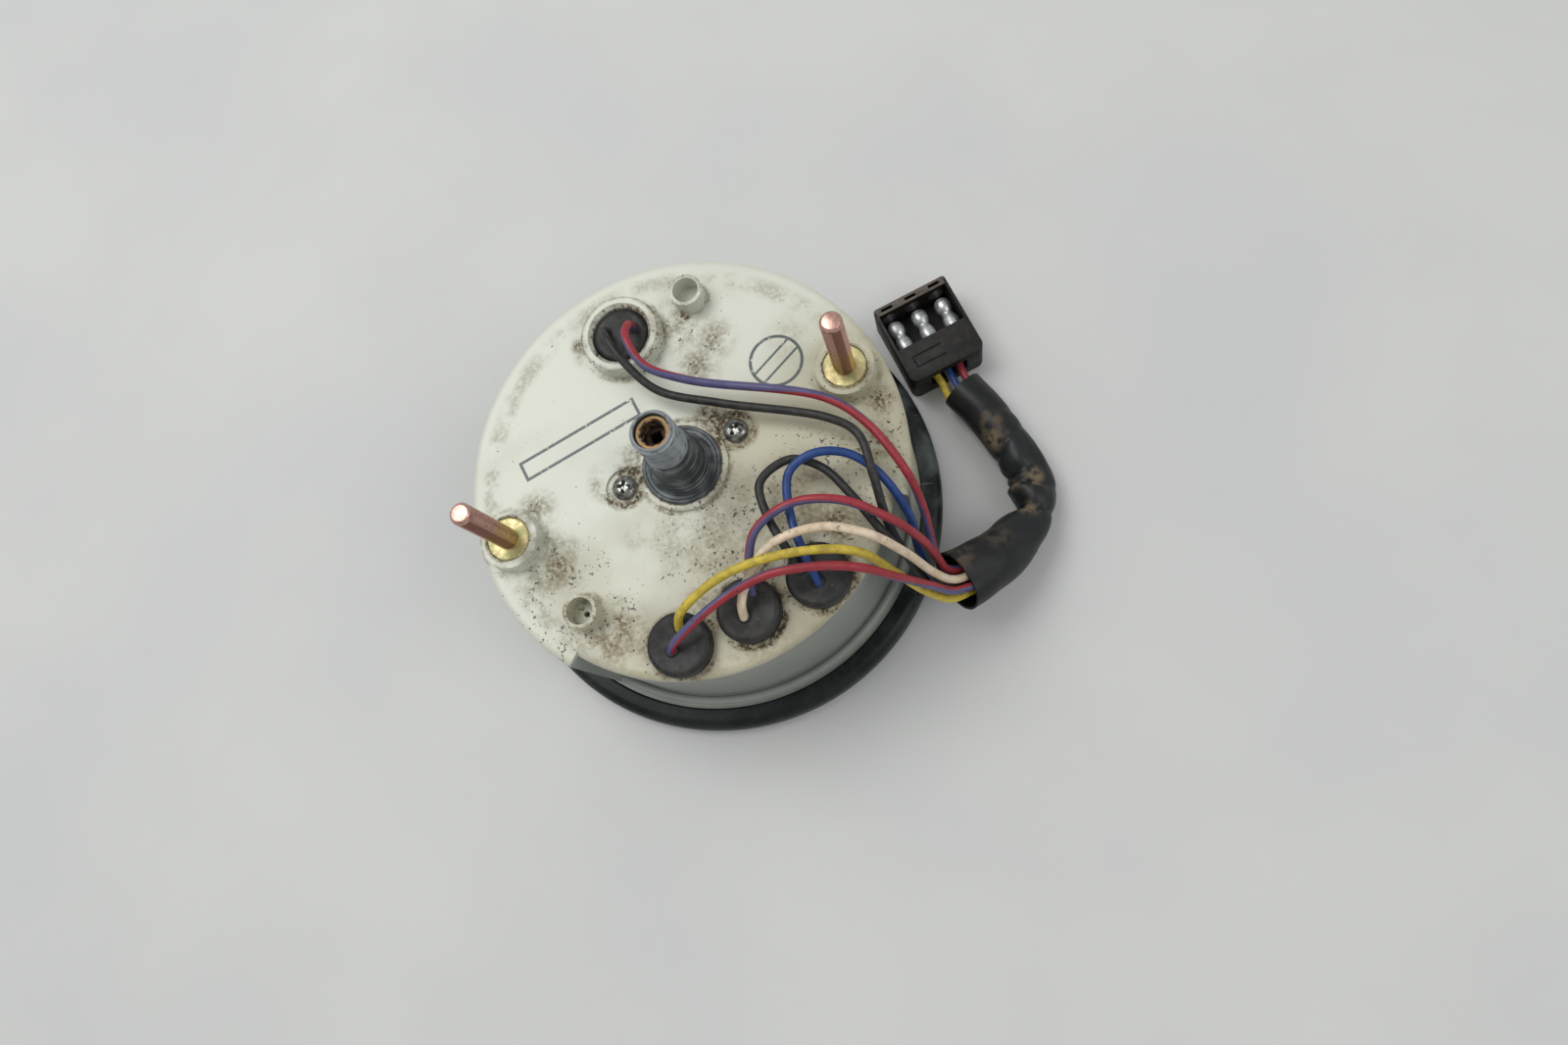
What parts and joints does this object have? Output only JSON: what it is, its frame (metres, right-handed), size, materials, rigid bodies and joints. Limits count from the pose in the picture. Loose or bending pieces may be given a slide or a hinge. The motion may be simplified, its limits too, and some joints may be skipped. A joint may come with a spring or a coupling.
{
  "type": "mechanical speedometer",
  "caption": "Round mechanical speedometer with odometer, cable socket, mounting studs, lamp holders and a wiring tail with connector, lying face down.",
  "frame": {"origin": "on the dial axis, in the plane of the bezel front rim that the object lies on", "axes": "+Z along the cable socket, out of the back; +X along the line of the two studs, to the left of the dial as it is read; +Y towards the top of the dial"},
  "size_m": [0.1649, 0.1386, 0.0855],
  "materials": {
    "case_plastic": "cream moulded plastic, dusty and stained",
    "bezel_black": "black satin, scuffed",
    "rubber_black": "dull",
    "glass_clear": "clear",
    "mask_black": "matt",
    "dial_black": "matt print",
    "indicator_plastic": "coloured, translucent",
    "steel": "turned",
    "pointer_orange": "painted",
    "bronze": "bright bronze",
    "cup_aluminium": "spun",
    "magnet_alloy": "ground",
    "die_cast": "dull die-cast zinc",
    "gear_white": "moulded",
    "drum_white": "moulded",
    "drum_black": "moulded",
    "screw_plated": "yellow plated, dusty",
    "stud_plated": "coppery plated thread",
    "bulb_glass": "clear",
    "wire_black": "soft plastic",
    "wire_red": "soft plastic, blue stripe",
    "wire_blue": "soft plastic",
    "wire_white": "soft plastic, dirty",
    "wire_yellow": "soft plastic",
    "sleeve_black": "soft plastic tube, dusty",
    "connector_black": "moulded, dusty",
    "terminal_tin": "tinned"
  },
  "bodies": {
    "root": {"case": "case_plastic", "bezel": "bezel_black", "lens_gasket": "rubber_black", "lens": "glass_clear", "mask_ring": "mask_black", "dial_plate": "dial_black", "indicator_lenses": "indicator_plastic", "zero_stop": "steel", "hairspring": "bronze", "bridge_plate": "steel", "field_ring": "steel", "socket_bush": "bronze", "cable_socket": "die_cast", "movement_frame": "die_cast", "odometer_shaft": "steel", "carry_shaft": "steel", "odometer_bracket": "steel", "light_tunnels": "gear_white", "dial_screws": "steel", "movement_screws": "screw_plated", "mount_studs": "stud_plated", "lamp_socket_top": "rubber_black", "lamp_socket_left": "rubber_black", "lamp_socket_middle": "rubber_black", "lamp_socket_right": "rubber_black", "lamp_bulbs": "bulb_glass", "harness_sleeve": "sleeve_black", "connector_housing": "connector_black", "connector_terminals": "terminal_tin", "connector_wires": "wire_yellow", "wire_top_black": "wire_black", "wire_top_red": "wire_red", "wire_right_blue": "wire_blue", "wire_right_black": "wire_black", "wire_middle_red": "wire_red", "wire_middle_white": "wire_white", "wire_left_yellow": "wire_yellow", "wire_left_red": "wire_red"},
    "drive": {"drive_shaft": "steel", "magnet": "magnet_alloy"},
    "needle": {"pointer": "pointer_orange", "pointer_cap": "mask_black", "pointer_spindle": "steel", "speed_cup": "cup_aluminium"},
    "cross": {"cross_shaft": "bronze"},
    "tenths": {"drum_1": "drum_white", "drum_gear": "gear_white"},
    "counter_2": {"drum_2": "drum_black"},
    "counter_3": {"drum_3": "drum_black"},
    "counter_4": {"drum_4": "drum_black"},
    "counter_5": {"drum_5": "drum_black"},
    "counter_6": {"drum_6": "drum_black"},
    "carry_1": {"carry_pinion_1": "gear_white"},
    "carry_2": {"carry_pinion_2": "gear_white"},
    "carry_3": {"carry_pinion_3": "gear_white"},
    "carry_4": {"carry_pinion_4": "gear_white"},
    "carry_5": {"carry_pinion_5": "gear_white"}
  },
  "joints": [
    {"name": "drive_spin", "type": "hinge", "parent": "root", "child": "drive", "pos_m": [0, 0, 0.06], "axis": [0, 0, 1], "continuous": true},
    {"name": "pointer_swing", "type": "hinge", "parent": "root", "child": "needle", "pos_m": [0, 0, 0.012], "axis": [0, 0, 1], "range_deg": [0, 252], "stiffness_Nm_per_rad": 0.00002},
    {"name": "cross_spin", "type": "hinge", "parent": "root", "child": "cross", "pos_m": [-0.0084, 0, 0.0365], "axis": [0, 1, 0], "continuous": true},
    {"name": "drum_1_spin", "type": "hinge", "parent": "root", "child": "tenths", "pos_m": [0.006, -0.024, 0.025], "axis": [1, 0, 0], "continuous": true},
    {"name": "drum_2_spin", "type": "hinge", "parent": "root", "child": "counter_2", "pos_m": [0.006, -0.024, 0.025], "axis": [1, 0, 0], "continuous": true},
    {"name": "drum_3_spin", "type": "hinge", "parent": "root", "child": "counter_3", "pos_m": [0.006, -0.024, 0.025], "axis": [1, 0, 0], "continuous": true},
    {"name": "drum_4_spin", "type": "hinge", "parent": "root", "child": "counter_4", "pos_m": [0.006, -0.024, 0.025], "axis": [1, 0, 0], "continuous": true},
    {"name": "drum_5_spin", "type": "hinge", "parent": "root", "child": "counter_5", "pos_m": [0.006, -0.024, 0.025], "axis": [1, 0, 0], "continuous": true},
    {"name": "drum_6_spin", "type": "hinge", "parent": "root", "child": "counter_6", "pos_m": [0.006, -0.024, 0.025], "axis": [1, 0, 0], "continuous": true},
    {"name": "carry_1_spin", "type": "hinge", "parent": "root", "child": "carry_1", "pos_m": [0.006, -0.03199, 0.03299], "axis": [1, 0, 0], "continuous": true},
    {"name": "carry_2_spin", "type": "hinge", "parent": "root", "child": "carry_2", "pos_m": [0.006, -0.03199, 0.03299], "axis": [1, 0, 0], "continuous": true},
    {"name": "carry_3_spin", "type": "hinge", "parent": "root", "child": "carry_3", "pos_m": [0.006, -0.03199, 0.03299], "axis": [1, 0, 0], "continuous": true},
    {"name": "carry_4_spin", "type": "hinge", "parent": "root", "child": "carry_4", "pos_m": [0.006, -0.03199, 0.03299], "axis": [1, 0, 0], "continuous": true},
    {"name": "carry_5_spin", "type": "hinge", "parent": "root", "child": "carry_5", "pos_m": [0.006, -0.03199, 0.03299], "axis": [1, 0, 0], "continuous": true}
  ],
  "couplings": [
    {"joint": "cross_spin", "follows": "drive_spin", "ratio": 0.035714},
    {"joint": "drum_1_spin", "follows": "drive_spin", "ratio": 0.00071429},
    {"joint": "drum_2_spin", "follows": "drive_spin", "ratio": 0.000071429},
    {"joint": "drum_3_spin", "follows": "drive_spin", "ratio": 0.0000071429},
    {"joint": "drum_4_spin", "follows": "drive_spin", "ratio": 0.00000071429},
    {"joint": "drum_5_spin", "follows": "drive_spin", "ratio": 0.000000071429},
    {"joint": "drum_6_spin", "follows": "drive_spin", "ratio": 0.0000000071429},
    {"joint": "carry_1_spin", "follows": "drive_spin", "ratio": -0.0002381},
    {"joint": "carry_2_spin", "follows": "drive_spin", "ratio": -0.00002381},
    {"joint": "carry_3_spin", "follows": "drive_spin", "ratio": -0.000002381},
    {"joint": "carry_4_spin", "follows": "drive_spin", "ratio": -0.0000002381},
    {"joint": "carry_5_spin", "follows": "drive_spin", "ratio": -0.00000002381}
  ]
}
